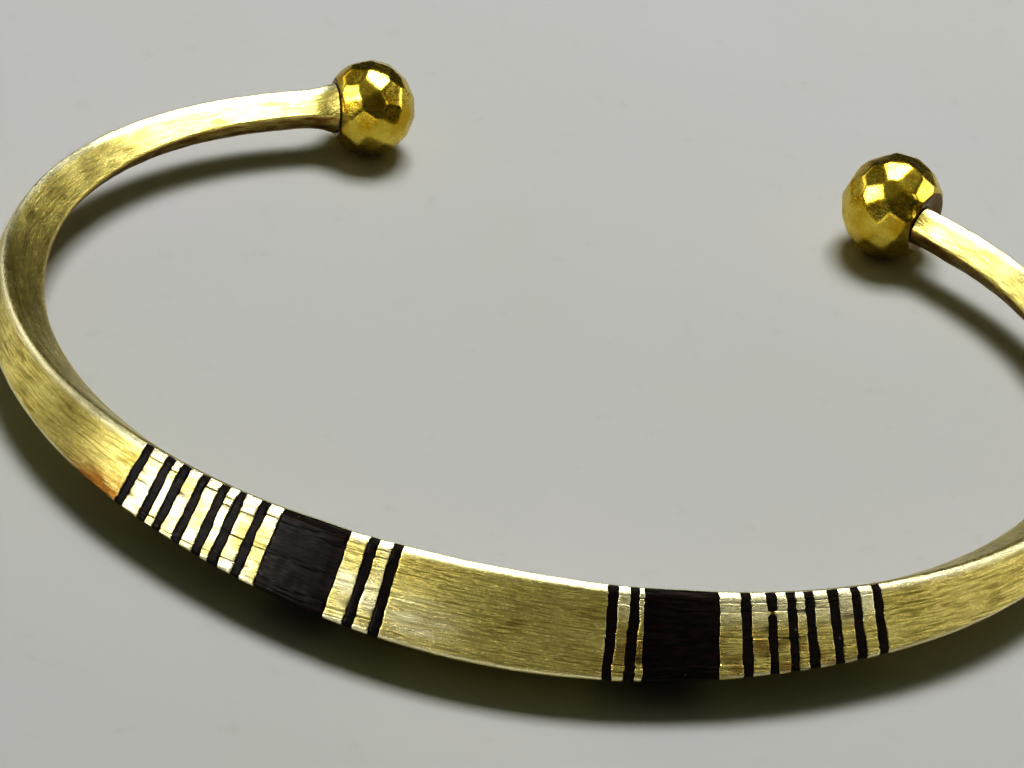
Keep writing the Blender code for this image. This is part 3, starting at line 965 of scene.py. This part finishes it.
class Nodes:
    """Short calls for building one material's node tree."""

    def __init__(self, name):
        self.material = bpy.data.materials.new(name)
        self.material.use_nodes = True
        self.tree = self.material.node_tree
        self.shader = self.tree.nodes["Principled BSDF"]

    def add(self, kind, inputs=None, **settings):
        node = self.tree.nodes.new(kind)
        for key, value in settings.items():
            setattr(node, key, value)
        for key, value in (inputs or {}).items():
            self.feed(node.inputs[key], value)
        return node

    def feed(self, socket, value):
        if isinstance(value, bpy.types.NodeSocket):
            self.tree.links.new(value, socket)
        else:
            socket.default_value = value

    def shade(self, name, value):
        self.feed(self.shader.inputs[name], value)

    def attribute(self, name, output="Vector"):
        return self.add("ShaderNodeAttribute", attribute_name=name).outputs[output]

    def scaled(self, vector, scale):
        node = self.add("ShaderNodeVectorMath", {0: vector, 1: scale}, operation="MULTIPLY")
        return node.outputs[0]

    def noise(self, vector, scale, detail=4.0, rough=0.55):
        node = self.add(
            "ShaderNodeTexNoise", {"Vector": vector, "Scale": scale, "Detail": detail, "Roughness": rough}
        )
        return node.outputs["Fac"]

    def ramp(self, value, low, high, to_low=0.0, to_high=1.0):
        node = self.add(
            "ShaderNodeMapRange",
            {"Value": value, "From Min": low, "From Max": high, "To Min": to_low, "To Max": to_high},
        )
        return node.outputs["Result"]

    def mix(self, share, first, second):
        node = self.add("ShaderNodeMix", data_type="RGBA")
        self.feed(node.inputs["Factor"], share)
        self.feed(node.inputs["A"], first)
        self.feed(node.inputs["B"], second)
        return node.outputs["Result"]

    def math(self, operation, first, second):
        return self.add("ShaderNodeMath", {0: first, 1: second}, operation=operation).outputs[0]

    def bump(self, height, strength, distance, normal=None):
        inputs = {"Height": height, "Strength": strength, "Distance": distance}
        node = self.add("ShaderNodeBump", inputs)
        if normal is not None:
            self.feed(node.inputs["Normal"], normal)
        return node.outputs["Normal"]


def bar_brass():
    """Filed brass: pale gold, olive where it has dulled, brushed along the bar, with painted highlights
    and painted brown shade.
    """
    nodes = Nodes("filed_brass")
    surface = nodes.attribute("surface")
    grime = nodes.attribute("grime", "Fac")
    wear = nodes.attribute("wear", "Fac")
    stain = nodes.attribute("stain", "Fac")
    brushed = nodes.noise(nodes.scaled(surface, (0.50, 7.5, 1.0)), 1.0, 6.0, 0.78)
    fine = nodes.noise(nodes.scaled(surface, (0.8, 26.0, 1.0)), 1.0, 3.0, 0.6)
    cloud = nodes.noise(nodes.scaled(surface, (0.22, 0.5, 1.0)), 1.0, 4.0, 0.6)
    blotch = nodes.noise(nodes.scaled(surface, (1.1, 1.6, 1.0)), 1.0, 5.0, 0.65)
    gold = nodes.mix(nodes.ramp(cloud, 0.35, 0.7), PALE_GOLD, DEEP_GOLD)
    dulled = nodes.mix(nodes.ramp(blotch, 0.5, 0.78), gold, DULLED_BRASS)
    patches = nodes.ramp(cloud, 0.30, 0.62, 0.35, 0.95)
    scratched = nodes.math("MULTIPLY", nodes.ramp(brushed, 0.46, 0.58), patches)
    streaked = nodes.mix(scratched, dulled, SCRATCHED_BRASS)
    # Pale brass on worn edges, mostly painted highlight.
    rubbed_and_lit = nodes.mix(wear, streaked, RUBBED_AND_HIGHLIGHT_BRASS)
    # Brown painted shade and painted reflection.
    brown_shaded = nodes.mix(stain, rubbed_and_lit, BROWN_SHADE_PAINT)
    dirty = nodes.mix(nodes.ramp(grime, 0.0, 0.6), brown_shaded, DIRT)
    nodes.shade("Base Color", dirty)
    nodes.shade("Metallic", 1.0)
    rough = nodes.ramp(brushed, 0.3, 0.75, 0.20, 0.36)
    rough = nodes.math("ADD", rough, nodes.ramp(blotch, 0.5, 0.8, 0.0, 0.10))
    nodes.shade("Roughness", rough)
    lines = nodes.bump(brushed, 0.60, 0.00006)
    lines = nodes.bump(fine, 0.35, 0.00002, lines)
    nodes.shade("Normal", lines)
    return nodes.material


def head_brass():
    """Deeper gold of the balls, lightly polished over the file marks."""
    nodes = Nodes("ball_brass")
    surface = nodes.attribute("surface")
    grime = nodes.attribute("grime", "Fac")
    cloud = nodes.noise(surface, 0.55, 4.0, 0.6)
    fine = nodes.noise(nodes.scaled(surface, (3.0, 3.0, 9.0)), 1.0, 5.0, 0.7)
    gold = nodes.mix(nodes.ramp(cloud, 0.35, 0.65), BALL_GOLD, BALL_AMBER)
    dulled = nodes.mix(nodes.ramp(fine, 0.55, 0.8, 0.0, 0.5), gold, BALL_DULLED)
    dirty = nodes.mix(nodes.ramp(grime, 0.5, 1.0), dulled, BALL_DIRT)
    nodes.shade("Base Color", dirty)
    nodes.shade("Metallic", 1.0)
    nodes.shade("Roughness", nodes.ramp(fine, 0.3, 0.75, 0.18, 0.34))
    nodes.shade("Normal", nodes.bump(fine, 0.22, 0.00003))
    return nodes.material


def ebony(name, brown, gloss):
    """Oiled ebony: near black with reddish-brown streaks of grain along the bar."""
    nodes = Nodes(name)
    surface = nodes.attribute("surface")
    streaks = nodes.noise(nodes.scaled(surface, (0.7, 5.0, 1.7)), 1.0, 6.0, 0.7)
    pores = nodes.noise(nodes.scaled(surface, (2.2, 14.0, 1.3)), 1.0, 3.0, 0.6)
    dust = nodes.noise(nodes.scaled(surface, (3.1, 3.1, 1.0)), 1.0, 0.0, 0.5)
    dark = nodes.mix(nodes.ramp(streaks, 0.45, 0.75, 0.0, brown), EBONY_BLACK, EBONY_BROWN)
    pored = nodes.mix(nodes.ramp(pores, 0.55, 0.7, 0.0, 0.7), dark, EBONY_PORE)
    dusty = nodes.mix(nodes.ramp(dust, 0.83, 0.86, 0.0, 0.3), pored, DUST)
    nodes.shade("Base Color", dusty)
    nodes.shade("Roughness", nodes.ramp(pores, 0.35, 0.7, gloss, gloss + 0.22))
    nodes.shade("Normal", nodes.bump(streaks, 0.35, 0.00003))
    nodes.shade("Specular IOR Level", 0.22)
    return nodes.material


def floor_card():
    """Pale grey-beige card with faint mottling."""
    nodes = Nodes("pale_card")
    place = nodes.add("ShaderNodeNewGeometry").outputs["Position"]
    cloud = nodes.noise(place, 28.0, 3.0, 0.5)
    speck = nodes.noise(place, 420.0, 4.0, 0.6)
    base = nodes.mix(nodes.ramp(cloud, 0.3, 0.7), CARD_GREEN_GREY, CARD_WARM_GREY)
    specked = nodes.mix(nodes.ramp(speck, 0.62, 0.8, 0.0, 0.25), base, CARD_SPECK)
    nodes.shade("Base Color", specked)
    nodes.shade("Roughness", 0.85)
    nodes.shade("Specular IOR Level", 0.2)
    nodes.shade("Normal", nodes.bump(speck, 0.10, 0.0002))
    return nodes.material


# ---------------------------------------------------------------- stage


def make_floor(look):
    """The surface that the bangle lies on."""
    mesh = bpy.data.meshes.new("floor")
    half = FLOOR_HALF
    corners = [(-half, -half, 0), (half, -half, 0), (half, half, 0), (-half, half, 0)]
    mesh.from_pydata(corners, [], [(0, 1, 2, 3)])
    mesh.materials.append(look)
    obj = bpy.data.objects.new("floor", mesh)
    bpy.context.scene.collection.objects.link(obj)


def sphere_direction(azimuth, elevation):
    """Unit vector: azimuth 0 is towards -Y and 90 towards +X."""
    a, e = math.radians(azimuth), math.radians(elevation)
    return np.array([math.sin(a) * math.cos(e), -math.cos(a) * math.cos(e), math.sin(e)])


def axes_matrix(*columns):
    """World matrix of an object with these three axes and this place."""
    matrix = Matrix.Identity(4)
    for axis, column in enumerate(columns):
        for row in range(3):
            matrix[row][axis] = column[row]
    return matrix


def add_softbox(name, azimuth, elevation, distance, size, watts, tint, card=False):
    """Area lamp aimed at the bangle, in metres. A card shows in the metal but does not fill shadows."""
    data = bpy.data.lights.new(name, "AREA")
    data.shape = "RECTANGLE"
    data.size, data.size_y = size
    data.energy = watts
    data.color = tint
    lamp = bpy.data.objects.new(name, data)
    lamp.visible_diffuse = not card
    back = sphere_direction(azimuth, elevation)
    side = np.cross([0.0, 0.0, 1.0], back)
    side /= np.linalg.norm(side)
    up = np.cross(back, side)
    lamp.matrix_world = axes_matrix(side, up, back, back * distance)
    bpy.context.scene.collection.objects.link(lamp)


def light_scene():
    """Overhead lamp from behind, reflected cards and a room that darkens to its horizon."""
    world = bpy.data.worlds.new("studio")
    world.use_nodes = True
    tree = world.node_tree
    place = tree.nodes.new("ShaderNodeTexCoord")
    split = tree.nodes.new("ShaderNodeSeparateXYZ")
    tree.links.new(place.outputs["Generated"], split.inputs[0])
    ramp = tree.nodes.new("ShaderNodeValToRGB")
    tree.links.new(split.outputs["Z"], ramp.inputs["Fac"])
    while len(ramp.color_ramp.elements) < len(SKY):
        ramp.color_ramp.elements.new(0.5)
    for element, (height, level) in zip(ramp.color_ramp.elements, SKY):
        element.position = height
        element.color = (*(level * tint for tint in SKY_TINT), 1.0)
    tree.links.new(ramp.outputs["Color"], tree.nodes["Background"].inputs["Color"])
    bpy.context.scene.world = world
    add_softbox(*LAMP)
    for card in CARDS:
        add_softbox(*card, card=True)
    bpy.context.scene.view_settings.view_transform = "Standard"
    bpy.context.scene.view_settings.look = "High Contrast"


def add_camera():
    """Camera at the fitted viewpoint."""
    back = sphere_direction(CAMERA_AZIMUTH, CAMERA_ELEVATION)
    side = np.cross(-back, [0.0, 0.0, 1.0])
    side /= np.linalg.norm(side)
    up = np.cross(side, -back)
    roll = math.radians(CAMERA_ROLL)
    right = side * math.cos(roll) + up * math.sin(roll)
    top = -side * math.sin(roll) + up * math.cos(roll)
    place = (np.array(CAMERA_TARGET) + back * CAMERA_DISTANCE) * MM
    data = bpy.data.cameras.new("camera")
    data.lens = CAMERA_LENS
    data.sensor_width = SENSOR_WIDTH
    data.clip_start = CLIP_START
    data.clip_end = CLIP_END
    camera = bpy.data.objects.new("camera", data)
    camera.matrix_world = axes_matrix(right, top, back, place)
    bpy.context.scene.collection.objects.link(camera)
    bpy.context.scene.camera = camera


def add_piece(obj, node, look):
    """Fix a piece to the one body, in place of its CAD node."""
    obj.data.materials.append(look)
    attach(obj, "root")
    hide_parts(node)


def frame_shift():
    """Plan offset from the bar's own centre to the row frame, read from one block's box."""
    first, last = SPAN_ENDS["left_block"]
    low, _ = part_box("left_block")
    steps = np.linspace(first, last, 6)
    corners = sections_at(steps)[:, :OUTER_CORNERS]
    plan, _, outward = plan_frame(angle_at(steps))
    places = plan[:, None] + corners[..., :1] * outward[:, None]
    lowest = places.reshape(-1, 2).min(axis=0)
    return np.array([low[0], low[1]]) / MM - lowest


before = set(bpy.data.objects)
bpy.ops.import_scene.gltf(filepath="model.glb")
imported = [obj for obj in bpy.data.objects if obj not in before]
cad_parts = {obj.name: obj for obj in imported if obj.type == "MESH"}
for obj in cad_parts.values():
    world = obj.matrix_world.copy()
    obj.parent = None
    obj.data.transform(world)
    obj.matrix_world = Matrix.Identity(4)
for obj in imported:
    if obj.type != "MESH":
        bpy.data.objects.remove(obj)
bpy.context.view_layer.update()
FRAME_SHIFT = tuple(frame_shift())
whole_bar = Bar()

brass = bar_brass()
ball = head_brass()
slip_wood = ebony("slip_ebony", 0.55, 0.38)
block_wood = ebony("block_ebony", 0.75, 0.30)
add_piece(make_bar(whole_bar), "cuff_body", brass)
for head_side in SIDES:
    add_piece(make_head(head_side), f"{head_side}_head", ball)
for span_number, span_name in enumerate(SPAN_ENDS):
    is_block = span_name.endswith("block")
    piece = make_inlay(whole_bar, span_name, span_number)
    add_piece(piece, span_name, block_wood if is_block else slip_wood)

make_floor(floor_card())
light_scene()
add_camera()
